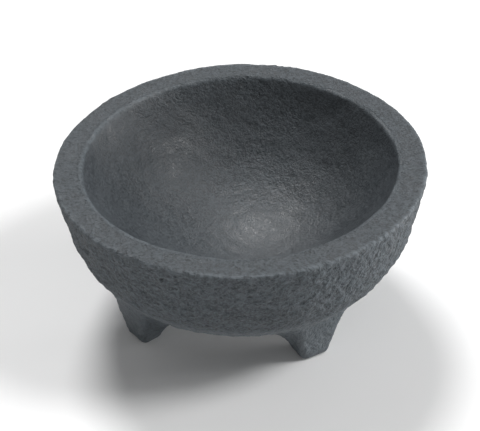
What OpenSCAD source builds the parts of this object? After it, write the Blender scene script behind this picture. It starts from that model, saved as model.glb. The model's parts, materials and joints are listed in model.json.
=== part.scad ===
// Molcajete: a stone grinding bowl on three stubby legs.
// Millimetres, +Z up. The origin is on the surface it stands on, under the centre of the bowl.
// Directions round the bowl are measured from the front, -Y, and grow towards +X.

/* [Bowl] */
// Diameter over the outer edge of the rim
rim_d = 200; // [160:5:260]
// Height of the rim above the surface the feet stand on
rim_h = 92; // [90:1:100]
// Width of the flat rim, from its outer edge to the mouth of the hollow
rim_w = 15; // [10:1:22]
// Depth of the grinding hollow below the rim
hollow_depth = 56; // [40:1:60]
// Height of the bowl from its underside to the rim
bowl_h = 70; // [66:1:72]
// Slope of the outer wall below the rim, in degrees from upright
wall_slope = 11; // [6:1:14]
// Radius of the haunch, where the wall turns under
haunch_r = 52; // [48:1:60]
// Rounding of the rim's outer edge
outer_edge_r = 1.5; // [0.5:0.5:4]
// Rounding of the lip at the mouth of the hollow
lip_r = 1.5; // [0.5:0.5:4]

/* [Legs] */
// Width of each foot where it stands, across the leg
foot_w = 16.5; // [12:0.5:20]
// Depth of each foot where it stands, towards the bowl's axis
foot_d = 12; // [8:0.5:14]
// Radius of the hollow curve of a leg's sides, which widen from foot to bowl
side_curve_r = 60; // [56:2:150]
// Radius of the curve where a leg's inner face runs into the underside
inner_curve_r = 18; // [10:1:19]
// Height at which a leg's outer face meets the wall, above the underside
root_rise = 12; // [10:1:14]
// Direction of the front right leg, in degrees from the front
front_right_at = 34; // [28:0.5:60]
// Direction of the front left leg
front_left_at = -59; // [-70:0.5:-45]
// Direction of the back leg
back_at = 167; // [150:1:200]
// Distance from the bowl's axis to the middle of the front right foot
front_right_reach = 62.5; // [56:0.5:66]
// Distance from the bowl's axis to the middle of the front left foot
front_left_reach = 65.5; // [56:0.5:67]
// Distance from the bowl's axis to the middle of the back foot
back_reach = 64; // [56:0.5:67]
// Turn of the front right leg about its own foot
front_right_turn = -6; // [-15:1:15]
// Turn of the front left leg about its own foot
front_left_turn = 7; // [-15:1:15]
// Turn of the back leg about its own foot
back_turn = 1; // [-15:1:15]

/* [Hidden] */
$fn = 96;
stone = [0.30, 0.32, 0.34];
leg_stone = [0.27, 0.29, 0.31];
front_is = -90;            // the angle of the front, -Y, from +X
rim_r = rim_d / 2;
mouth_r = rim_r - rim_w;
underside = rim_h - bowl_h;
// The hollow is part of a ball: its radius follows from its width at the rim and its depth.
hollow_r = (mouth_r * mouth_r + hollow_depth * hollow_depth) / (2 * hollow_depth);
hollow_z = rim_h - hollow_depth + hollow_r;
// The lip's rounding sits inside the stone, touching the rim's top and the ball of the hollow.
lip_z = rim_h - lip_r;
lip_x = sqrt(pow(hollow_r + lip_r, 2) - pow(hollow_z - lip_z, 2));
lip_end = atan2(hollow_z - lip_z, -lip_x);
// The haunch arc is tangent to the underside and to the sloping wall that starts at the rim's edge.
haunch_z = underside + haunch_r;
edge_x = rim_r - outer_edge_r;
edge_z = rim_h - outer_edge_r;
haunch_x = edge_x + (outer_edge_r - haunch_r - (edge_z - haunch_z) * sin(wall_slope))
    / cos(wall_slope);
// The middle of a leg's outer face meets the bowl's wall here.
root_z = underside + root_rise;
root_r = haunch_x + sqrt(pow(haunch_r, 2) - pow(haunch_z - root_z, 2));
overlap = 5;               // how far a leg's blank runs on inside the bowl before it is cut
leg_top = root_z + overlap;

// Points along an arc about [x, z], from one angle to another.
function arc(x, z, r, from, to, steps) =
    [for (i = [0 : steps]) let (a = from + (to - from) * i / steps) [x + r * cos(a), z + r * sin(a)]];

// The outside of the bowl, from the axis at the underside up to the rim's outer edge.
function outside() = concat(
    [[0, underside]],
    arc(haunch_x, haunch_z, haunch_r, -90, -wall_slope, 16),
    arc(edge_x, edge_z, outer_edge_r, -wall_slope, 90, 5)
);

// The hollow, from the lip down to its middle.
function inside() = concat(
    arc(lip_x, lip_z, lip_r, 90, lip_end, 5),
    arc(0, hollow_z, hollow_r, lip_end - 180, -90, 22)
);

// The bowl's body before it is hollowed, which the legs are fitted to.
module bowl_blank() {
    rotate_extrude() polygon(concat(outside(), [[0, rim_h]]));
}

module bowl() {
    color(stone) rotate_extrude() polygon(concat(outside(), inside()));
}

// The inner side of a leg: upright at the foot, then curving in under the bowl.
// x is the distance from the bowl's axis.
function leg_side(reach) = let (heel = reach - foot_d / 2) concat(
    [[heel, 0], [rim_r, 0], [rim_r, leg_top], [heel - inner_curve_r, leg_top]],
    arc(heel - inner_curve_r, underside + 1 - inner_curve_r, inner_curve_r, 90, 0, 6)
);

// The outer side of a leg: a cone about the bowl's axis that leans out to meet the wall.
function leg_outer(reach) =
    [[0, 0], [reach + foot_d / 2, 0], [root_r, root_z], [root_r, leg_top], [0, leg_top]];

// One edge of a leg seen from outside: upright at the foot, then sweeping out in a hollow curve.
function leg_edge() =
    arc(foot_w / 2 + side_curve_r, 0, side_curve_r, 180, 180 - asin(leg_top / side_curve_r), 8);

function mirrored(points) = [for (i = [len(points) - 1 : -1 : 0]) [-points[i][0], points[i][1]]];

// A squared block with a leg's inner side and its two edges, standing along +X.
module leg_blank(reach) {
    intersection() {
        rotate([90, 0, 0]) linear_extrude(rim_r, center = true) polygon(leg_side(reach));
        rotate([90, 0, 90]) linear_extrude(rim_r) polygon(concat(leg_edge(), mirrored(leg_edge())));
    }
}

// A leg at one direction round the bowl, cut to sit against the bowl's body.
module leg(at, reach, turn) {
    difference() {
        intersection() {
            rotate(at + front_is)
                translate([reach, 0, 0])
                    rotate(turn)
                        translate([-reach, 0, 0]) leg_blank(reach);
            rotate_extrude() polygon(leg_outer(reach));
        }
        bowl_blank();
    }
}

module leg_front_left() {
    color(leg_stone) leg(front_left_at, front_left_reach, front_left_turn);
}

module leg_front_right() {
    color(leg_stone) leg(front_right_at, front_right_reach, front_right_turn);
}

module leg_back() {
    color(leg_stone) leg(back_at, back_reach, back_turn);
}

bowl();
leg_front_left();
leg_front_right();
leg_back();
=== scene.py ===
"""Molcajete: a bowl of dark basalt on three stubby legs, carved from one block.

The whole block is shaped first, as one continuous skin of stone, and the bowl and the
legs are then sawn out of it, so that their surfaces run on across the joints.
Lengths are in metres. Directions round the bowl are measured from the front, -Y.
"""

import json
import math

import bmesh
import bpy
import numpy as np
from bpy.props import FloatProperty, FloatVectorProperty, IntProperty, PointerProperty
from mathutils import Euler, Matrix, Vector
from mathutils.kdtree import KDTree


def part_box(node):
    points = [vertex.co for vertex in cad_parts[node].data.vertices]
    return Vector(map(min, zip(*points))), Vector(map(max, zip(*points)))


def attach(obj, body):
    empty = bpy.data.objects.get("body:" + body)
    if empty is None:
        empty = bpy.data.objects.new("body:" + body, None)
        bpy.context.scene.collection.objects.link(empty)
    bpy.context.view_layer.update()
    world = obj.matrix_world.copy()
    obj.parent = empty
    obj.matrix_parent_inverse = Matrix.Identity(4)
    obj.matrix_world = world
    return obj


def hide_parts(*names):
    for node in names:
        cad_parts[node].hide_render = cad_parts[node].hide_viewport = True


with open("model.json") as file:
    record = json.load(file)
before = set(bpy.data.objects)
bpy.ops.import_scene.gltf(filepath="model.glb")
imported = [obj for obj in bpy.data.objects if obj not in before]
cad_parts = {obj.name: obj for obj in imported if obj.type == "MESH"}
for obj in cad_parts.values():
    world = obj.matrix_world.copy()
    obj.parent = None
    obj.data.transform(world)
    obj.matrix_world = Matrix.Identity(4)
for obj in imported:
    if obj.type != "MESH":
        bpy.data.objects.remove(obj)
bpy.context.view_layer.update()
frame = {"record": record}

bl_info = {
    "name": "Molcajete",
    "version": (1, 0, 0),
    "blender": (4, 5, 0),
    "location": "3D View > Sidebar > Molcajete",
    "description": "Carves a stone molcajete round its packed frame",
    "category": "Object",
}

MM = 0.001
BOWL_LOW, BOWL_HIGH = (Vector(corner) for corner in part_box("bowl"))
RIM_RADIUS = (BOWL_HIGH.x - BOWL_LOW.x) / 2
RIM_HEIGHT = BOWL_HIGH.z
UNDERSIDE = BOWL_LOW.z
LEGS = ("leg_front_left", "leg_front_right", "leg_back")
FEET = {
    mount["name"].replace("foot", "leg", 1): Vector(mount["pos_m"])
    for mount in frame["record"]["mounts"]
}
BLOCK = "stone_block"


# Sizes and colours that a user would change


class BowlSizes(bpy.types.PropertyGroup):
    rim_width: FloatProperty(
        name="Rim width",
        description="Flat top of the rim, from its outer edge to the hollow",
        default=15 * MM, min=8 * MM, max=25 * MM, unit="LENGTH",
    )
    hollow_depth: FloatProperty(
        name="Hollow depth",
        description="How far the hollow goes down below the rim",
        default=56 * MM, min=40 * MM, max=60 * MM, unit="LENGTH",
    )
    wall_slope: FloatProperty(
        name="Wall slope",
        description="Lean of the outer wall below the rim, from upright",
        default=math.radians(11.3), min=0, max=math.radians(20), subtype="ANGLE",
    )
    haunch_radius: FloatProperty(
        name="Haunch radius",
        description="Curve of the wall where it turns under",
        default=52.4 * MM, min=40 * MM, max=65 * MM, unit="LENGTH",
    )
    edge_radius: FloatProperty(
        name="Rim edge radius",
        description="Rounding of the rim's outer edge",
        default=1.3 * MM, min=0.5 * MM, max=5 * MM, unit="LENGTH",
    )
    lip_radius: FloatProperty(
        name="Lip radius",
        description="Rounding of the lip at the mouth of the hollow",
        default=1.5 * MM, min=0.5 * MM, max=5 * MM, unit="LENGTH",
    )
    unevenness: FloatProperty(
        name="Unevenness",
        description="Height of the soft swells left on the stone by hand work",
        default=0.3 * MM, min=0, max=2 * MM, unit="LENGTH",
    )


class LegSizes(bpy.types.PropertyGroup):
    foot_width: FloatProperty(
        name="Foot width",
        description="Width of a foot where it stands, across the leg",
        default=16.5 * MM, min=8 * MM, max=25 * MM, unit="LENGTH",
    )
    foot_depth: FloatProperty(
        name="Foot depth",
        description="Depth of a foot where it stands, towards the bowl's axis",
        default=12 * MM, min=6 * MM, max=20 * MM, unit="LENGTH",
    )
    corner_radius: FloatProperty(
        name="Corner radius",
        description="Rounding of the four upright corners of a leg",
        default=3 * MM, min=1 * MM, max=6 * MM, unit="LENGTH",
    )
    toe_radius: FloatProperty(
        name="Toe radius",
        description="Rounding of the edge under a foot",
        default=1.8 * MM, min=0.5 * MM, max=5 * MM, unit="LENGTH",
    )
    flare: FloatProperty(
        name="Flare",
        description="How far each side of a leg has spread out where it meets the wall",
        default=9.7 * MM, min=0, max=20 * MM, unit="LENGTH",
    )
    lean: FloatProperty(
        name="Lean",
        description="How far a leg's outer face has leant out where it meets the wall",
        default=5.5 * MM, min=0, max=15 * MM, unit="LENGTH",
    )
    inner_fillet: FloatProperty(
        name="Inner fillet",
        description="How widely a leg's inner side and flanks flow into the underside",
        default=26 * MM, min=5 * MM, max=30 * MM, unit="LENGTH",
    )
    outer_fillet: FloatProperty(
        name="Outer fillet",
        description="How widely a leg's outer face flows into the wall",
        default=3.5 * MM, min=1 * MM, max=10 * MM, unit="LENGTH",
    )


class StoneFinish(bpy.types.PropertyGroup):
    stone: FloatVectorProperty(
        name="Stone",
        description="Colour of the freshly cut basalt",
        default=(0.059, 0.0705, 0.080), size=3, min=0, max=1, subtype="COLOR",
    )
    # Besides real stone dust, this colour paints the highlight on the rim's arrises and the bounce
    # light in the band under the haunch.
    dust_and_painted_light: FloatVectorProperty(
        name="Stone dust",
        description="Colour of the pale dust that stays in worn places",
        default=(0.122, 0.142, 0.157), size=3, min=0, max=1, subtype="COLOR",
    )
    # This darker colour paints shade deep inside the pits and pores.
    pit: FloatVectorProperty(
        name="Pit",
        description="Colour deep inside the pits",
        default=(0.022, 0.025, 0.028), size=3, min=0, max=1, subtype="COLOR",
    )
    pits: IntProperty(
        name="Pits",
        description="Number of larger pits cut into the stone",
        default=1500, min=0, max=5000,
    )
    grid: FloatProperty(
        name="Grid",
        description="Spacing of the points of the stone's skin",
        default=1.2 * MM, min=0.6 * MM, max=4 * MM, unit="LENGTH",
    )


class StageSettings(bpy.types.PropertyGroup):
    floor: FloatVectorProperty(
        name="Floor",
        description="Colour of the floor",
        default=(0.86, 0.86, 0.86), size=3, min=0, max=1, subtype="COLOR",
    )
    elevation: FloatProperty(
        name="Camera elevation",
        description="Angle of the camera above the rim",
        default=math.radians(36.55), min=0, max=math.radians(90), subtype="ANGLE",
    )
    distance: FloatProperty(
        name="Camera distance",
        description="Distance from the camera to the point it looks at",
        default=0.8, min=0.3, max=3, unit="LENGTH",
    )
    lens: FloatProperty(
        name="Lens",
        description="Focal length of the camera",
        default=108.95, min=20, max=300, unit="CAMERA",
    )
    roll: FloatProperty(
        name="Camera roll",
        description="Tilt of the camera about its own view",
        default=math.radians(1.8), min=-math.radians(10), max=math.radians(10), subtype="ANGLE",
    )


# Outlines and distances


def arc(x, z, radius, start, end, steps):
    """Points along an arc about (x, z) from one angle to another."""
    return [
        (x + radius * math.cos(a), z + radius * math.sin(a))
        for a in np.linspace(start, end, steps + 1)
    ]


def outside_outline(sizes, grown=0.0):
    """The outside of the bowl from its axis at the underside up to the rim's outer edge.

    A grown outline lies that far outside the true one.
    """
    edge_x = RIM_RADIUS - sizes.edge_radius
    edge_z = RIM_HEIGHT - sizes.edge_radius
    haunch_z = UNDERSIDE + sizes.haunch_radius
    haunch_x = edge_x + (
        sizes.edge_radius - sizes.haunch_radius
        - (edge_z - haunch_z) * math.sin(sizes.wall_slope)
    ) / math.cos(sizes.wall_slope)
    haunch = arc(haunch_x, haunch_z, sizes.haunch_radius + grown, -math.pi / 2, -sizes.wall_slope, 28)
    edge = arc(edge_x, edge_z, sizes.edge_radius + grown, -sizes.wall_slope, math.pi / 2, 8)
    return [(0.0, UNDERSIDE - grown)] + haunch + edge


def hollow_ball(sizes):
    """Radius of the ball that the hollow is part of, and the height of its centre."""
    mouth = RIM_RADIUS - sizes.rim_width
    ball = (mouth**2 + sizes.hollow_depth**2) / (2 * sizes.hollow_depth)
    return ball, RIM_HEIGHT - sizes.hollow_depth + ball


def hollow_outline(sizes):
    """The hollow, from its lip down to its middle, as part of a ball with a rounded lip."""
    ball, ball_z = hollow_ball(sizes)
    lip_z = RIM_HEIGHT - sizes.lip_radius
    lip_x = math.sqrt((ball + sizes.lip_radius) ** 2 - (ball_z - lip_z) ** 2)
    lip_end = math.atan2(ball_z - lip_z, -lip_x)
    lip = arc(lip_x, lip_z, sizes.lip_radius, math.pi / 2, lip_end, 7)
    return lip + arc(0, ball_z, ball, lip_end - math.pi, -math.pi / 2, 34)


def distance_to_outline(radius, height, outline):
    """Signed distance of points (radius, height) to an outline about the axis, negative inside."""
    corners = np.array(outline)
    start, step = corners[:-1], np.diff(corners, axis=0)
    long = (step**2).sum(axis=1)
    keep = long > 0
    start, step, long = start[keep], step[keep], long[keep]
    result = np.empty(len(radius))
    for first in range(0, len(radius), 8192):
        part = slice(first, first + 8192)
        dx = radius[part, None] - start[:, 0]
        dz = height[part, None] - start[:, 1]
        along = np.clip((dx * step[:, 0] + dz * step[:, 1]) / long, 0, 1)
        gap = np.hypot(dx - along * step[:, 0], dz - along * step[:, 1]).min(axis=1)
        # A level line out from a point inside crosses the outline an odd number of times.
        spans = (dz < 0) != (dz < step[:, 1])
        with np.errstate(divide="ignore", invalid="ignore"):
            meets = dz / step[:, 1] * step[:, 0] > dx
        inside = (spans & meets).sum(axis=1) % 2 == 1
        result[part] = np.where(inside, -gap, gap)
    return result


def smooth_step(value):
    """Eases from 0 to 1 as a value goes from 0 to 1."""
    value = np.clip(value, 0, 1)
    return value * value * (3 - 2 * value)


def blend_low(a, b, width):
    """The lower of two distances, with the crease between them rounded."""
    near = np.maximum(width - np.abs(a - b), 0) / width
    return np.minimum(a, b) - near**2 * width / 4


def blend_high(a, b, width):
    """The higher of two distances, with the edge between them rounded."""
    return -blend_low(-a, -b, width)


def ripple(points, length, seed, waves=20):
    """Smooth random relief of about unit height, with lumps of about the given length."""
    rng = np.random.default_rng(seed)
    ways = rng.normal(size=(waves, 3))
    ways /= np.linalg.norm(ways, axis=1)[:, None]
    ways *= 2 * math.pi / (length * rng.uniform(0.7, 1.5, size=(waves, 1)))
    total = np.zeros(len(points))
    for way, shift in zip(ways, rng.uniform(0, 2 * math.pi, waves)):
        total += np.cos(points @ way + shift)
    return total * math.sqrt(2 / waves)


# The block


LEG_TURNS = {
    "leg_front_left": math.radians(7),
    "leg_front_right": math.radians(-6),
    "leg_back": math.radians(1),
}
# How the rim strays from a true circle: lobes round it, their height, and where one lies.
LOBES = (
    (2, 0.53 * MM, math.radians(0)),
    (3, 0.46 * MM, math.radians(48)),
    (4, 0.44 * MM, math.radians(8)),
)
WALL_SWELL = 24 * MM     # length of the soft swells round the wall
LEVEL_SWELL = 70 * MM    # and of those in its height
TURN_STEPS = 160         # steps round the blank that the skin is grown from
SAW_STEPS = 240          # and round the saw
ROOT_HEIGHT = 34 * MM    # about where the legs' outer faces meet the wall
FADE_LOW = 32 * MM       # the legs' fillets start to fade out up the wall here
LEG_TOP = 48 * MM        # and have gone here
COVER_FULL = 12 * MM     # legs act in full where they have this much stone over them
COVER_LEAST = 3 * MM     # and not at all where they have this much
INNER_SPREAD = 46 * MM   # how far a leg's inner side has spread inwards at the root's height
BAND_HEIGHT = 50 * MM    # below this the pecked wall turns into a more smoothly dressed band
STEEPNESS = 0.93         # makes up for the slant of a leg's faces in its distance
SEAM = 2.2 * MM          # how far outside the bowl's true outline the legs are sawn off
SAW_TOP = 6 * MM         # corners of the saw's outline nearer the rim than this are left out
SAW_CLEAR = 4 * MM       # above them it stands this far outside its last corner, on the wall
SAW_LID = 12 * MM        # and closes this far above the rim

# Widths over which one zone of the stone gives way to the next.
HOLLOW_RAMP = 2.5 * MM
RIM_RAMP = 2 * MM
BAND_RAMP = 8 * MM
EDGE_WEAR_AND_HIGHLIGHT = 1.3 * MM     # breadth of the rubbed arris round the rim's outer edge, which also carries a painted highlight
LIP_WEAR_AND_HIGHLIGHT = 1.6 * MM      # and round the lip of the hollow

# Hand-cut relief: the length of its lumps, their height, and how much of it shows on
# dressed and on ground stone, beside pecked stone.
SWELLS = (10 * MM, 0.12 * MM, 0.5, 0.6)
PECKS = (4.2 * MM, 0.16 * MM, 0.35, 0.08)
BAND_SHARE = 0.6         # how far the band is dressed, beside the rim
STAND_CLEAR = 3 * MM     # relief fades out this far above the feet's undersides

# Larger pits, whose sizes are drawn about 1. The chances are per point of each zone.
PIT_CHANCES = {"outside": 1.0, "rim": 0.5, "band": 0.25, "hollow": 0.1}
PIT_SIZES = (3.0, 0.33)  # shape and scale of the spread of their sizes
PIT_LEAST = 0.9 * MM     # radius of the smallest pit
PIT_SPREAD = 0.55 * MM   # what a pit of size 1 adds to it
PIT_DEPTH = 0.38         # depth of a pit on the pecked wall, in radii


def bowl_distance(points, sizes, outline):
    """Signed distance to the bowl, a little out of round as hand work is."""
    stray = sizes.unevenness
    radius = np.hypot(points[:, 0], points[:, 1])
    facing = np.arctan2(points[:, 0], -points[:, 1])
    outer = np.clip(radius / RIM_RADIUS, 0, 1) ** 2
    for count, swell, toward in LOBES:
        radius = radius - outer * swell * np.cos(count * (facing - toward))
    radius = radius - stray * 0.5 * ripple(points, WALL_SWELL, seed=12)
    height = points[:, 2] - stray * 0.6 * ripple(points, LEVEL_SWELL, seed=13)
    return distance_to_outline(radius, height, outline)


def leg_axes(name):
    """The outward and sideways directions of a leg."""
    foot = FEET[name]
    outward = Vector((foot.x, foot.y, 0)).normalized()
    outward.rotate(Euler((0, 0, LEG_TURNS[name])))
    return outward, Vector((-outward.y, outward.x, 0))


def leg_distance(points, name, legs):
    """Signed distance to one leg, a squared stub that spreads upwards, and its fillet's width.

    The fillet is narrow at the leg's outer face and wide at its flanks and inner side.
    """
    foot = FEET[name]
    outward, sideways = leg_axes(name)
    flat = points - np.array(foot)
    out = flat @ np.array(outward)
    side = flat @ np.array(sideways)
    rise = np.maximum(points[:, 2], 0) / ROOT_HEIGHT
    # The outer face leans out almost straight, and the flanks sweep out in a hollow curve.
    outer = legs.foot_depth / 2 + legs.lean * (0.8 * rise + 0.2 * rise**2)
    inner = -legs.foot_depth / 2 - INNER_SPREAD * rise**2
    half_width = legs.foot_width / 2 + legs.flare * (0.68 * rise + 0.32 * rise**2)
    corner = legs.corner_radius
    past_out = np.abs(out - (outer + inner) / 2) - ((outer - inner) / 2 - corner)
    past_side = np.abs(side) - (half_width - corner)
    gap = np.hypot(np.maximum(past_out, 0), np.maximum(past_side, 0))
    gap += np.minimum(np.maximum(past_out, past_side), 0) - corner
    gap *= STEEPNESS
    gap = blend_high(gap, points[:, 2] - LEG_TOP, legs.toe_radius)
    gap = blend_high(gap, -points[:, 2], legs.toe_radius * 2)
    inward = smooth_step((outer - out) / legs.foot_depth)
    return gap, legs.outer_fillet + (legs.inner_fillet - legs.outer_fillet) * inward


def stone_distance(points, sizes, legs, outline):
    """Signed distance to the whole carved stone."""
    bowl = bowl_distance(points, sizes, outline)
    total = bowl
    ball, ball_z = hollow_ball(sizes)
    cover = np.sqrt((points[:, :2] ** 2).sum(axis=1) + (points[:, 2] - ball_z) ** 2) - ball
    up_wall = smooth_step((points[:, 2] - FADE_LOW) / (LEG_TOP - FADE_LOW))
    near_hollow = smooth_step((COVER_FULL - cover) / (COVER_FULL - COVER_LEAST))
    fade = np.maximum(up_wall, near_hollow)
    for name in LEGS:
        leg, fillet = leg_distance(points, name, legs)
        # Up the wall and near the hollow a leg sinks too deep in the stone to swell it.
        leg = leg + fade * np.maximum(bowl + fillet - leg, 0)
        total = blend_low(total, leg, fillet)
    return total


def turned_mesh(name, outline, steps):
    """A closed mesh turned from an outline whose two ends lie on the axis."""
    shape = bmesh.new()
    points = [shape.verts.new((x, 0, z)) for x, z in outline]
    edges = [shape.edges.new(pair) for pair in zip(points, points[1:])]
    bmesh.ops.spin(
        shape, geom=points + edges, cent=(0, 0, 0), axis=(0, 0, 1),
        angle=2 * math.pi, steps=steps, use_merge=True,
    )
    bmesh.ops.remove_doubles(shape, verts=shape.verts, dist=1e-6)
    bmesh.ops.recalc_face_normals(shape, faces=shape.faces)
    mesh = bpy.data.meshes.new(name)
    shape.to_mesh(mesh)
    shape.free()
    return mesh


def rough_leg(shape, name, legs):
    """Adds a plain tapered block about one leg, for the remesh to start from."""
    foot = FEET[name]
    outward, sideways = leg_axes(name)
    half_depth = legs.foot_depth / 2
    half_width = legs.foot_width / 2
    rings = (
        (0.0, -half_depth, half_depth, half_width),
        (ROOT_HEIGHT, -3 * half_depth, half_depth, half_width + legs.flare * 0.6),
    )
    ends = []
    for height, inner, outer, half in rings:
        base = Vector((foot.x, foot.y, height))
        ends.append([
            shape.verts.new(base + outward * o + sideways * s)
            for o, s in ((inner, -half), (outer, -half), (outer, half), (inner, half))
        ])
    low, high = ends
    shape.faces.new(low[::-1])
    shape.faces.new(high)
    for i in range(4):
        j = (i + 1) % 4
        shape.faces.new((low[i], low[j], high[j], high[i]))


def evaluated_mesh(obj, name):
    """A new mesh of an object with its modifiers applied."""
    graph = bpy.context.evaluated_depsgraph_get()
    mesh = bpy.data.meshes.new_from_object(obj.evaluated_get(graph), depsgraph=graph)
    mesh.name = name
    return mesh


def scratch_object(mesh):
    """A working object, which drop() takes away again."""
    obj = bpy.data.objects.new("scratch", mesh)
    bpy.context.scene.collection.objects.link(obj)
    return obj


def drop(obj):
    """Deletes a working object and its mesh."""
    mesh = obj.data
    bpy.data.objects.remove(obj)
    bpy.data.meshes.remove(mesh)


def vertex_array(mesh):
    values = np.empty(len(mesh.vertices) * 3)
    mesh.vertices.foreach_get("co", values)
    return values.reshape(-1, 3)


def normal_array(mesh):
    values = np.empty(len(mesh.vertices) * 3, np.float32)
    mesh.vertex_normals.foreach_get("vector", values)
    return values.reshape(-1, 3).astype(float)


def settle(points, distance, step=0.25 * MM, rounds=2):
    """Moves points onto the surface where a distance is zero."""
    for _ in range(rounds):
        here = distance(points)
        slope = np.stack([
            (distance(points + axis * step) - here) / step for axis in np.eye(3)
        ], axis=1)
        size = np.maximum((slope**2).sum(axis=1), 0.2)
        points = points - (here / size)[:, None] * slope
    return points


def relax(points, edges, amount=0.6):
    """Moves each point towards the middle of its neighbours, which evens out their spacing."""
    total = np.zeros_like(points)
    for axis in range(3):
        total[:, axis] += np.bincount(edges[:, 0], points[edges[:, 1], axis], len(points))
        total[:, axis] += np.bincount(edges[:, 1], points[edges[:, 0], axis], len(points))
    count = np.bincount(edges.ravel(), minlength=len(points))
    return points + amount * (total / count[:, None] - points)


def zones(points, sizes):
    """How far each point is ground, dressed and pecked stone, and how far its arrises are worn and
    painted with a highlight.

    The hollow is ground, the rim and the band under the haunch are dressed, the rest is pecked.
    """
    radius = np.hypot(points[:, 0], points[:, 1])
    mouth = RIM_RADIUS - sizes.rim_width
    below = RIM_HEIGHT - points[:, 2]
    ball, ball_z = hollow_ball(sizes)
    from_ball = np.hypot(radius, points[:, 2] - ball_z) - ball
    hollow = np.clip(1 - from_ball / HOLLOW_RAMP, 0, 1)
    rim = np.clip(1.4 - below / RIM_RAMP, 0, 1) * (1 - hollow)
    band = smooth_step((BAND_HEIGHT - points[:, 2]) / BAND_RAMP) * (1 - hollow)
    outside = 1 - np.maximum(np.maximum(hollow, rim), BAND_SHARE * band)
    # Wear, and the painted highlight that goes with it, is greatest just below the rim's two arrises.
    from_edge = np.hypot(radius - RIM_RADIUS + sizes.edge_radius * 0.4, below - 0.6 * MM)
    from_lip = np.hypot(radius - mouth, below - 0.5 * MM)
    worn_and_highlit = np.exp(-((from_edge / EDGE_WEAR_AND_HIGHLIGHT) ** 2)) + 1.2 * np.exp(-((from_lip / LIP_WEAR_AND_HIGHLIGHT) ** 2))
    return {"hollow": hollow, "rim": rim, "band": band, "outside": outside, "worn_and_highlit": worn_and_highlit}


def cut_pits(points, sizes, count):
    """Relief of the larger pits: thick on the outer wall, thin on the rim, and few in the hollow."""
    rng = np.random.default_rng(5)
    zone = zones(points, sizes)
    outside = zone["outside"]
    chance = sum(weight * zone[name] for name, weight in PIT_CHANCES.items())
    centres = rng.choice(len(points), count, replace=False, p=chance / chance.sum())
    tree = KDTree(len(points))
    for index, point in enumerate(points):
        tree.insert(point, index)
    tree.balance()
    relief = np.zeros(len(points))
    for centre, size in zip(centres, rng.gamma(*PIT_SIZES, count)):
        width = (PIT_LEAST + PIT_SPREAD * size) * (0.6 + 0.4 * outside[centre])
        depth = PIT_DEPTH * width * (0.35 + 0.65 * outside[centre])
        for _, index, gap in tree.find_range(points[centre], width):
            relief[index] = min(relief[index], -depth * (1 - (gap / width) ** 2) ** 2)
    return relief


def carve_block(sizes, legs, finish):
    """The whole stone as one closed skin, with its hand-cut relief."""
    outline = outside_outline(sizes) + hollow_outline(sizes)
    rough = bmesh.new()
    turned = turned_mesh("turned", outline, TURN_STEPS)
    rough.from_mesh(turned)
    bpy.data.meshes.remove(turned)
    for name in LEGS:
        rough_leg(rough, name, legs)
    mesh = bpy.data.meshes.new("rough")
    rough.to_mesh(mesh)
    rough.free()
    obj = scratch_object(mesh)
    remesh = obj.modifiers.new("skin", "REMESH")
    remesh.mode = "VOXEL"
    remesh.voxel_size = finish.grid
    block = evaluated_mesh(obj, BLOCK)
    drop(obj)

    points = vertex_array(block)
    edges = np.empty(len(block.edges) * 2, np.int32)
    block.edges.foreach_get("vertices", edges)
    edges = edges.reshape(-1, 2)

    def distance(places):
        return stone_distance(places, sizes, legs, outline)

    points = relax(points, edges)
    points = settle(points, distance, rounds=2)
    for _ in range(3):
        points = settle(relax(points, edges), distance, rounds=1)
    points = settle(points, distance, rounds=1)
    block.vertices.foreach_set("co", points.ravel())
    block.update()

    normals = normal_array(block)
    zone = zones(points, sizes)
    dressed = np.maximum(zone["rim"], BAND_SHARE * zone["band"])
    relief = np.zeros(len(points))
    for (length, height, on_dressed, on_ground), seed in ((SWELLS, 21), (PECKS, 22)):
        share = zone["outside"] + on_dressed * dressed + on_ground * zone["hollow"]
        relief += height * ripple(points, length, seed) * share
    relief += cut_pits(points, sizes, finish.pits)
    standing = np.clip(points[:, 2] / STAND_CLEAR, 0, 1)
    points = points + normals * (relief * standing)[:, None]
    points[:, 2] = np.maximum(points[:, 2], 0)
    block.vertices.foreach_set("co", points.ravel())
    block.update()
    return block


# Sawing the pieces out of the block


def sawn_piece(block, sizes, operation, name):
    """The part of the block inside or outside a surface close round the bowl's own outline."""
    obj = scratch_object(block.copy())
    obj.data.materials.clear()
    lid = RIM_HEIGHT + SAW_LID
    grown = outside_outline(sizes, SEAM)
    saw_outline = [point for point in grown if point[1] < RIM_HEIGHT - SAW_TOP]
    widest = saw_outline[-1][0] + SAW_CLEAR
    saw_outline += [(widest, RIM_HEIGHT - SAW_CLEAR), (widest, lid), (0.0, lid)]
    saw = scratch_object(turned_mesh("saw", saw_outline, SAW_STEPS))
    mark = saw.data.attributes.new("sawn", "FLOAT", "FACE")
    mark.data.foreach_set("value", np.ones(len(saw.data.polygons), np.float32))
    mark = obj.data.attributes.new("sawn", "FLOAT", "FACE")
    mark.data.foreach_set("value", np.zeros(len(obj.data.polygons), np.float32))
    cut = obj.modifiers.new("saw", "BOOLEAN")
    cut.operation = operation
    cut.solver = "MANIFOLD"
    cut.object = saw
    piece = evaluated_mesh(obj, name)
    drop(saw)
    drop(obj)
    return piece


def keep_leg(mesh, name):
    """Leaves only the loose part that stands on one foot."""
    shape = bmesh.new()
    shape.from_mesh(mesh)
    foot = FEET[name]
    others = [FEET[leg] for leg in LEGS if leg != name]
    far = [
        v for v in shape.verts
        if any((v.co.xy - other.xy).length < (v.co.xy - foot.xy).length for other in others)
    ]
    bmesh.ops.delete(shape, geom=far, context="VERTS")
    shape.to_mesh(mesh)
    shape.free()


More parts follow.
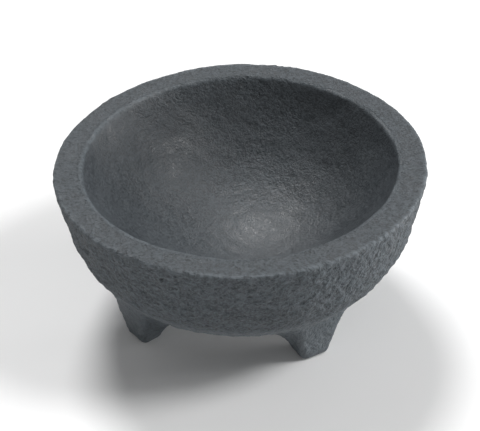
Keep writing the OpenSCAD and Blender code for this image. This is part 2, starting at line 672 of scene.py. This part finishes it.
def run_on_shading(mesh, block):
    """Gives the skin of a sawn piece the block's own normals, so that no seam shows."""
    tree = KDTree(len(block.vertices))
    for index, vertex in enumerate(block.vertices):
        tree.insert(vertex.co, index)
    tree.balance()
    block_normals = normal_array(block)
    smooth = []
    for vertex in mesh.vertices:
        total, weight = Vector(), 0.0
        for _, index, gap in tree.find_n(vertex.co, 3):
            share = 1 / (gap + 1e-7)
            total += Vector(block_normals[index]) * share
            weight += share
        smooth.append((total / weight).normalized())
    flags = np.zeros(len(mesh.polygons), np.float32)
    mesh.attributes["sawn"].data.foreach_get("value", flags)
    normals = []
    for face, flag in zip(mesh.polygons, flags):
        for index in face.vertices:
            normals.append(face.normal.copy() if flag > 0.5 else smooth[index])
    mesh.polygons.foreach_set("use_smooth", np.ones(len(mesh.polygons), bool))
    mesh.normals_split_custom_set(normals)


ZONES = ("hollow", "rim", "band", "worn_and_highlit")


def mark_zones(mesh, sizes):
    """Stores how ground, dressed or pecked the stone is at each point, for its material."""
    zone = zones(vertex_array(mesh), sizes)
    for name in ZONES:
        layer = mesh.attributes.new(name, "FLOAT", "POINT")
        layer.data.foreach_set("value", zone[name].astype(np.float32))


def place(mesh, name, node, material, block, sizes):
    """Makes a finished piece of stone that stands for a node of the frame."""
    run_on_shading(mesh, block)
    mark_zones(mesh, sizes)
    mesh.attributes.remove(mesh.attributes["sawn"])
    mesh.materials.clear()
    mesh.materials.append(material)
    piece = bpy.data.objects.new(name, mesh)
    bpy.context.scene.collection.objects.link(piece)
    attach(piece, "root")
    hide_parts(node)
    return piece


# Stone materials


def new_group(name, inputs, outputs):
    """An empty shader node group with named sockets."""
    group = bpy.data.node_groups.new(name, "ShaderNodeTree")
    for label, kind, default in inputs:
        socket = group.interface.new_socket(label, in_out="INPUT", socket_type=kind)
        if default is not None:
            socket.default_value = default
    for label, kind in outputs:
        group.interface.new_socket(label, in_out="OUTPUT", socket_type=kind)
    start = group.nodes.new("NodeGroupInput")
    end = group.nodes.new("NodeGroupOutput")
    return group, start, end


def add_node(tree, kind, inputs=None, **settings):
    """A node with its settings and inputs: plain values are set, and sockets are linked."""
    node = tree.nodes.new(kind)
    for key, value in settings.items():
        setattr(node, key, value)
    for key, value in (inputs or {}).items():
        socket = node.inputs[key]
        if isinstance(value, bpy.types.NodeSocket):
            tree.links.new(value, socket)
        else:
            socket.default_value = value
    return node


def math_node(tree, operation, a, b=0.0, clamp=False):
    return add_node(
        tree, "ShaderNodeMath", {0: a, 1: b}, operation=operation, use_clamp=clamp
    ).outputs[0]


def mapped(tree, value, low, high, to_low=0.0, to_high=1.0):
    node = add_node(
        tree, "ShaderNodeMapRange",
        {"Value": value, "From Min": low, "From Max": high, "To Min": to_low, "To Max": to_high},
        interpolation_type="SMOOTHSTEP",
    )
    return node.outputs["Result"]


def by_mask(tree, mask, without, within):
    """A value that goes from one number outside a mask to another inside it."""
    return mapped(tree, mask, 0.0, 1.0, without, within)


def times(tree, a, b):
    return math_node(tree, "MULTIPLY", a, b)


def mixed_colour(tree, factor, a, b):
    node = add_node(tree, "ShaderNodeMix", data_type="RGBA", blend_type="MIX")
    for key, value in ((0, factor), (6, a), (7, b)):
        socket = node.inputs[key]
        if isinstance(value, bpy.types.NodeSocket):
            tree.links.new(value, socket)
        else:
            socket.default_value = value
    return node.outputs[2]


def pits_group():
    """Small gas pits of the stone: a mask that is 1 in a pit, and their relief in metres."""
    group, start, end = new_group(
        "Gas pits",
        [("Vector", "NodeSocketVector", None), ("Size", "NodeSocketFloat", 1.2 * MM),
         ("Share", "NodeSocketFloat", 0.4), ("Depth", "NodeSocketFloat", 0.4 * MM)],
        [("Mask", "NodeSocketFloat"), ("Relief", "NodeSocketFloat")],
    )
    scale = math_node(group, "DIVIDE", 1.0, start.outputs["Size"])
    bend = add_node(group, "ShaderNodeTexNoise", {
        "Vector": start.outputs["Vector"], "Scale": scale, "Detail": 1.0,
    })
    nudge = add_node(group, "ShaderNodeVectorMath", {0: bend.outputs["Color"], 1: (0.5, 0.5, 0.5)},
                     operation="SUBTRACT").outputs[0]
    reach = add_node(group, "ShaderNodeVectorMath", {0: nudge}, operation="SCALE")
    group.links.new(math_node(group, "MULTIPLY", start.outputs["Size"], 0.9), reach.inputs["Scale"])
    place_at = add_node(group, "ShaderNodeVectorMath",
                        {0: start.outputs["Vector"], 1: reach.outputs[0]}, operation="ADD").outputs[0]
    cells = add_node(group, "ShaderNodeTexVoronoi", {"Vector": place_at, "Scale": scale},
                     feature="F1", distance="EUCLIDEAN")
    pick = add_node(group, "ShaderNodeSeparateColor", {"Color": cells.outputs["Color"]})
    # Each cell draws a number, and only cells under the share hold a pit, of its own width.
    holds = math_node(group, "SUBTRACT", start.outputs["Share"], pick.outputs[0])
    width = mapped(group, holds, 0.0, 0.35, 0.0, 0.55)
    depth_in = math_node(group, "SUBTRACT", width, cells.outputs["Distance"])
    mask = mapped(group, depth_in, 0.0, 0.22)
    group.links.new(mask, end.inputs["Mask"])
    group.links.new(
        math_node(group, "MULTIPLY", math_node(group, "MULTIPLY", mask, start.outputs["Depth"]), -1.0),
        end.inputs["Relief"],
    )
    return group


def grain_group():
    """The fine grain of basalt: darker and paler specks, cloudy tone, and a little relief."""
    group, start, end = new_group(
        "Basalt grain",
        [("Vector", "NodeSocketVector", None), ("Speck size", "NodeSocketFloat", 1.3 * MM),
         ("Peck size", "NodeSocketFloat", 3.4 * MM), ("Cloud size", "NodeSocketFloat", 22 * MM)],
        [("Specks", "NodeSocketFloat"), ("Pecks", "NodeSocketFloat"), ("Clouds", "NodeSocketFloat"),
         ("Flecks", "NodeSocketFloat"), ("Tint", "NodeSocketFloat")],
    )
    fine = math_node(group, "DIVIDE", 1.0, start.outputs["Speck size"])
    broad = math_node(group, "DIVIDE", 1.0, start.outputs["Cloud size"])
    specks = add_node(group, "ShaderNodeTexNoise", {
        "Vector": start.outputs["Vector"], "Scale": fine, "Detail": 3.0, "Roughness": 0.65,
    })
    pecks = add_node(group, "ShaderNodeTexNoise", {
        "Vector": start.outputs["Vector"],
        "Scale": math_node(group, "DIVIDE", 1.0, start.outputs["Peck size"]),
        "Detail": 2.5, "Roughness": 0.55,
    })
    group.links.new(mapped(group, pecks.outputs["Fac"], 0.3, 0.7), end.inputs["Pecks"])
    clouds = add_node(group, "ShaderNodeTexNoise", {
        "Vector": start.outputs["Vector"], "Scale": broad, "Detail": 4.0, "Roughness": 0.6,
    })
    tint = add_node(group, "ShaderNodeTexNoise", {
        "Vector": start.outputs["Vector"], "Scale": math_node(group, "MULTIPLY", broad, 2.7),
        "Detail": 2.0,
    })
    crystals = add_node(group, "ShaderNodeTexVoronoi", {
        "Vector": start.outputs["Vector"], "Scale": math_node(group, "MULTIPLY", fine, 0.8),
    })
    pick = add_node(group, "ShaderNodeSeparateColor", {"Color": crystals.outputs["Color"]})
    chosen = mapped(group, pick.outputs[1], 0.9, 0.97)
    near = mapped(group, crystals.outputs["Distance"], 0.4, 0.2)
    group.links.new(mapped(group, specks.outputs["Fac"], 0.36, 0.64), end.inputs["Specks"])
    group.links.new(mapped(group, clouds.outputs["Fac"], 0.3, 0.7), end.inputs["Clouds"])
    group.links.new(math_node(group, "MULTIPLY", chosen, near), end.inputs["Flecks"])
    group.links.new(mapped(group, tint.outputs["Fac"], 0.35, 0.65), end.inputs["Tint"])
    return group


def stone_groups():
    """The two shared groups, built once."""
    built = {}
    for name, build in (("Gas pits", pits_group), ("Basalt grain", grain_group)):
        built[name] = bpy.data.node_groups.get(name) or build()
    return built


def rgba(colour):
    return (*colour, 1.0)


# How much of each effect the stone takes, from 0 to 1.
RIM_SMOOTH = 0.55        # smoothness of the rim, beside the ground hollow
BAND_SMOOTH = 0.4        # smoothness of the band under the haunch
BAND_BOUNCE_LIGHT = 0.55         # pale colour painted into that band as light bounced up from the floor
VIOLET = 0.12            # faint violet tint in some of the stone
PALE_FLECKS = 0.3
# how much painted shade darkens the small pores
PORE_SHADE = 0.35
HANDLED_HOLLOW = 0.46    # darkening of the hollow by use
HANDLED_RIM = 0.24       # and of the rim
VIOLET_STONE = (0.105, 0.092, 0.112, 1.0)
HANDLED_STONE = (0.004, 0.005, 0.007, 1.0)


def pit_layer(tree, group, place_at, size, share, depth):
    """One layer of gas pits of a given size, over a given share of the stone."""
    layer = add_node(tree, "ShaderNodeGroup", node_tree=group)
    tree.links.new(place_at, layer.inputs["Vector"])
    layer.inputs["Size"].default_value = size
    layer.inputs["Depth"].default_value = depth
    if isinstance(share, bpy.types.NodeSocket):
        tree.links.new(share, layer.inputs["Share"])
    else:
        layer.inputs["Share"].default_value = share
    return layer


def basalt_material(name, finish):
    """Pecked basalt that turns fine on the rim and smooth in the hollow, from the stored zones."""
    groups = stone_groups()
    material = bpy.data.materials.new(name)
    material.use_nodes = True
    tree = material.node_tree
    tree.nodes.clear()
    output = tree.nodes.new("ShaderNodeOutputMaterial")
    shader = tree.nodes.new("ShaderNodeBsdfPrincipled")
    tree.links.new(shader.outputs[0], output.inputs["Surface"])
    place_at = tree.nodes.new("ShaderNodeTexCoord").outputs["Object"]
    hollow, rim, band, worn_and_highlit = (
        add_node(tree, "ShaderNodeAttribute", attribute_name=zone).outputs["Fac"]
        for zone in ZONES
    )
    dressed = math_node(tree, "MAXIMUM", times(tree, rim, RIM_SMOOTH), times(tree, band, BAND_SMOOTH))
    smooth = math_node(tree, "MAXIMUM", hollow, dressed)

    grain = add_node(tree, "ShaderNodeGroup", node_tree=groups["Basalt grain"])
    tree.links.new(place_at, grain.inputs["Vector"])
    specks, pecks, clouds, flecks, tint = (
        grain.outputs[label] for label in ("Specks", "Pecks", "Clouds", "Flecks", "Tint")
    )
    pit_share = by_mask(tree, smooth, 0.3, 0.1)
    pits = pit_layer(tree, groups["Gas pits"], place_at, 2.4 * MM, pit_share, 0.6 * MM)
    pores = pit_layer(tree, groups["Gas pits"], place_at, 0.9 * MM, 0.4, 0.2 * MM)

    # Colour, from the bare stone to what lies on it, with painted shade in the low places, pits and
    # pores, a painted highlight on the rim's arrises and painted bounce light in the band.
    darker, paler, painted_low_shade = (rgba(c * part for c in finish.stone) for part in (0.84, 1.18, 0.4))
    dust_and_painted_light, pale_dust, rubbed_dust_and_highlight = (rgba(c * part for c in finish.dust_and_painted_light) for part in (1.0, 1.5, 1.35))
    pit = rgba(finish.pit)
    # Painted shade in the low places of the pecked relief, less of it in the hollow.
    low = times(tree, math_node(tree, "SUBTRACT", 1.0, pecks), by_mask(tree, hollow, 0.95, 0.5))
    dusty = times(tree, specks, by_mask(tree, hollow, 0.62, 0.75))
    # Pale wear on the high points of the rim's arrises, which also paints a highlight along them.
    rubbed_and_highlit = times(tree, worn_and_highlit, by_mask(tree, pecks, 0.25, 0.85))
    # Painted shade inside the larger pits, less of it on smoother stone.
    shaded_pits = times(tree, pits.outputs["Mask"], by_mask(tree, smooth, 0.55, 0.3))
    handled = math_node(tree, "ADD", times(tree, hollow, HANDLED_HOLLOW), times(tree, rim, HANDLED_RIM))
    colour = mixed_colour(tree, clouds, darker, paler)
    for share, over in (
        (times(tree, tint, VIOLET), VIOLET_STONE),
        (low, painted_low_shade),
        (dusty, dust_and_painted_light),
        # Painted bounce light: the band under the haunch is made paler.
        (times(tree, band, BAND_BOUNCE_LIGHT), dust_and_painted_light),
        (times(tree, flecks, PALE_FLECKS), pale_dust),
        (rubbed_and_highlit, rubbed_dust_and_highlight),
        (shaded_pits, pit),
        # Painted shade in the small pores.
        (times(tree, pores.outputs["Mask"], PORE_SHADE), pit),
        (handled, HANDLED_STONE),
    ):
        colour = mixed_colour(tree, share, colour, over)
    tree.links.new(colour, shader.inputs["Base Color"])

    rough = by_mask(tree, smooth, 0.8, 0.5)
    for mottle in (specks, clouds):
        rough = math_node(tree, "ADD", rough, by_mask(tree, mottle, -0.06, 0.06))
    tree.links.new(rough, shader.inputs["Roughness"])

    relief = math_node(tree, "ADD", pits.outputs["Relief"], pores.outputs["Relief"])
    relief = times(tree, relief, by_mask(tree, smooth, 1.0, 0.25))
    fine = times(tree, specks, by_mask(tree, smooth, 0.32 * MM, 0.09 * MM))
    broad = times(tree, pecks, by_mask(tree, smooth, 1.2 * MM, 0.1 * MM))
    height = math_node(tree, "ADD", relief, math_node(tree, "ADD", fine, broad))
    bump = add_node(tree, "ShaderNodeBump", {"Height": height, "Distance": 1.0, "Strength": 1.0})
    tree.links.new(bump.outputs[0], shader.inputs["Normal"])
    return material


# Operators


def settings():
    scene = bpy.context.scene
    return scene.molcajete_bowl, scene.molcajete_legs, scene.molcajete_stone, scene.molcajete_stage


def block_mesh():
    """The carved block, which the sawing operators need."""
    block = bpy.data.meshes.get(BLOCK)
    if block is None:
        raise RuntimeError("The block isn't carved yet: run Carve the block first")
    return block


class MOLCAJETE_OT_block(bpy.types.Operator):
    """Shape the whole stone, bowl and legs together, as one skin"""

    bl_idname = "molcajete.block"
    bl_label = "Carve the block"

    def execute(self, context):
        sizes, legs, finish, _ = settings()
        carve_block(sizes, legs, finish)
        return {"FINISHED"}


class MOLCAJETE_OT_bowl(bpy.types.Operator):
    """Saw the bowl out of the block and finish its stone"""

    bl_idname = "molcajete.bowl"
    bl_label = "Bowl"

    def execute(self, context):
        sizes, _, finish, _ = settings()
        block = block_mesh()
        mesh = sawn_piece(block, sizes, "INTERSECT", "bowl_stone")
        material = basalt_material("Basalt, bowl", finish)
        place(mesh, "bowl_stone", "bowl", material, block, sizes)
        return {"FINISHED"}


class MOLCAJETE_OT_legs(bpy.types.Operator):
    """Saw the three legs out of the block and finish their stone"""

    bl_idname = "molcajete.legs"
    bl_label = "Legs"

    def execute(self, context):
        sizes, _, finish, _ = settings()
        block = block_mesh()
        material = basalt_material("Basalt, legs", finish)
        for name in LEGS:
            mesh = sawn_piece(block, sizes, "DIFFERENCE", name + "_stone")
            keep_leg(mesh, name)
            place(mesh, name + "_stone", name, material, block, sizes)
        return {"FINISHED"}


def add_lamp(data, location):
    """Hangs a light at a place, aimed at the bowl and unseen itself."""
    lamp = bpy.data.objects.new(data.name, data)
    lamp.location = location
    aim = Vector((0, 0, RIM_HEIGHT / 2)) - Vector(location)
    lamp.rotation_euler = aim.to_track_quat("-Z", "Y").to_euler()
    lamp.visible_camera = False
    bpy.context.scene.collection.objects.link(lamp)


def far_light(name, location, spread, strength):
    """A large light too far off to fade across the floor."""
    data = bpy.data.lights.new(name, "SUN")
    data.angle = spread
    data.energy = strength
    add_lamp(data, location)


def near_light(name, location, size, power):
    """A square soft light close to the bowl."""
    data = bpy.data.lights.new(name, "AREA")
    data.shape = "SQUARE"
    data.size = size
    data.energy = power
    add_lamp(data, location)


# Name, place, spread and strength of each far light.
FAR_LIGHTS = (
    ("Side light", (0.94, -0.1, 1.1), math.radians(17), 1.6),
    ("Back light", (-0.22, 0.73, 1.12), math.radians(19), 2.35),
)
# Name, place, side and power of each near light.
NEAR_LIGHTS = (
    ("Low side light", (1.15, 0.15, 0.13), 0.35, 10),
    ("Low front light", (0.3, -1.2, 0.3), 0.4, 0.9),
)
WORLD_LIGHT = 0.275      # strength of the surroundings as light
WORLD_SEEN = 0.95        # and as they look
FLOOR_HALF = 6.0         # half the side of the floor
TARGET_LEFT = 1.2 * MM   # the camera looks at a point a little left of the bowl's axis
TARGET_DROP = 37.2 * MM  # and this far below its rim


def studio_world():
    """Even pale surroundings, dimmer as light than they look."""
    world = bpy.data.worlds.new("Studio")
    world.use_nodes = True
    tree = world.node_tree
    seen = tree.nodes.new("ShaderNodeLightPath").outputs["Is Camera Ray"]
    strength = by_mask(tree, seen, WORLD_LIGHT, WORLD_SEEN)
    tree.nodes["Background"].inputs["Color"].default_value = (1, 1, 1, 1)
    tree.links.new(strength, tree.nodes["Background"].inputs["Strength"])
    return world


def floor_material(colour):
    material = bpy.data.materials.new("Floor")
    material.use_nodes = True
    tree = material.node_tree
    shader = tree.nodes["Principled BSDF"]
    shader.inputs["Roughness"].default_value = 0.9
    place_at = tree.nodes.new("ShaderNodeTexCoord").outputs["Object"]
    mottle = add_node(tree, "ShaderNodeTexNoise", {"Vector": place_at, "Scale": 3.0})
    tone = mixed_colour(tree, mottle.outputs["Fac"], rgba(colour), rgba(c * 0.985 for c in colour))
    tree.links.new(tone, shader.inputs["Base Color"])
    return material


class MOLCAJETE_OT_stage(bpy.types.Operator):
    """Set up the pale floor, the soft studio lights and the camera"""

    bl_idname = "molcajete.stage"
    bl_label = "Stage"

    def execute(self, context):
        _, _, _, stage = settings()
        scene = context.scene
        shape = bmesh.new()
        bmesh.ops.create_grid(shape, x_segments=8, y_segments=8, size=FLOOR_HALF)
        mesh = bpy.data.meshes.new("floor")
        shape.to_mesh(mesh)
        shape.free()
        mesh.materials.append(floor_material(stage.floor))
        floor = bpy.data.objects.new("floor", mesh)
        scene.collection.objects.link(floor)

        scene.world = studio_world()
        for light in FAR_LIGHTS:
            far_light(*light)
        for light in NEAR_LIGHTS:
            near_light(*light)

        data = bpy.data.cameras.new("Camera")
        data.lens = stage.lens
        data.sensor_width = 36
        data.dof.use_dof = False
        camera = bpy.data.objects.new("Camera", data)
        target = Vector((-TARGET_LEFT, 0, RIM_HEIGHT - TARGET_DROP))
        turn = Euler((math.pi / 2 - stage.elevation, 0, 0)).to_matrix()
        backward = turn @ Vector((0, 0, 1))
        camera.matrix_world = (
            Matrix.Translation(target + backward * stage.distance)
            @ turn.to_4x4() @ Matrix.Rotation(-stage.roll, 4, "Z")
        )
        scene.collection.objects.link(camera)
        scene.camera = camera
        scene.view_settings.view_transform = "Standard"
        return {"FINISHED"}


class MOLCAJETE_PT_panel(bpy.types.Panel):
    """The molcajete's pieces, in the order they are made"""

    bl_idname = "MOLCAJETE_PT_panel"
    bl_label = "Molcajete"
    bl_space_type = "VIEW_3D"
    bl_region_type = "UI"
    bl_category = "Molcajete"

    def draw(self, context):
        layout = self.layout
        for operator in OPERATORS:
            layout.operator(operator.bl_idname)
        for group in settings():
            box = layout.box()
            for key in group.__annotations__:
                box.prop(group, key)


OPERATORS = (MOLCAJETE_OT_block, MOLCAJETE_OT_bowl, MOLCAJETE_OT_legs, MOLCAJETE_OT_stage)
GROUPS = {
    "molcajete_bowl": BowlSizes,
    "molcajete_legs": LegSizes,
    "molcajete_stone": StoneFinish,
    "molcajete_stage": StageSettings,
}


def register():
    for group in GROUPS.values():
        bpy.utils.register_class(group)
    for cls in (*OPERATORS, MOLCAJETE_PT_panel):
        bpy.utils.register_class(cls)
    for name, group in GROUPS.items():
        setattr(bpy.types.Scene, name, PointerProperty(type=group))


def unregister():
    for name in GROUPS:
        delattr(bpy.types.Scene, name)
    for cls in (MOLCAJETE_PT_panel, *OPERATORS[::-1]):
        bpy.utils.unregister_class(cls)
    for group in GROUPS.values():
        bpy.utils.unregister_class(group)


def main():
    register()
    bpy.ops.molcajete.block()
    bpy.ops.molcajete.bowl()
    bpy.ops.molcajete.legs()
    bpy.ops.molcajete.stage()
    bpy.data.meshes.remove(block_mesh())


if __name__ == "__main__":
    main()
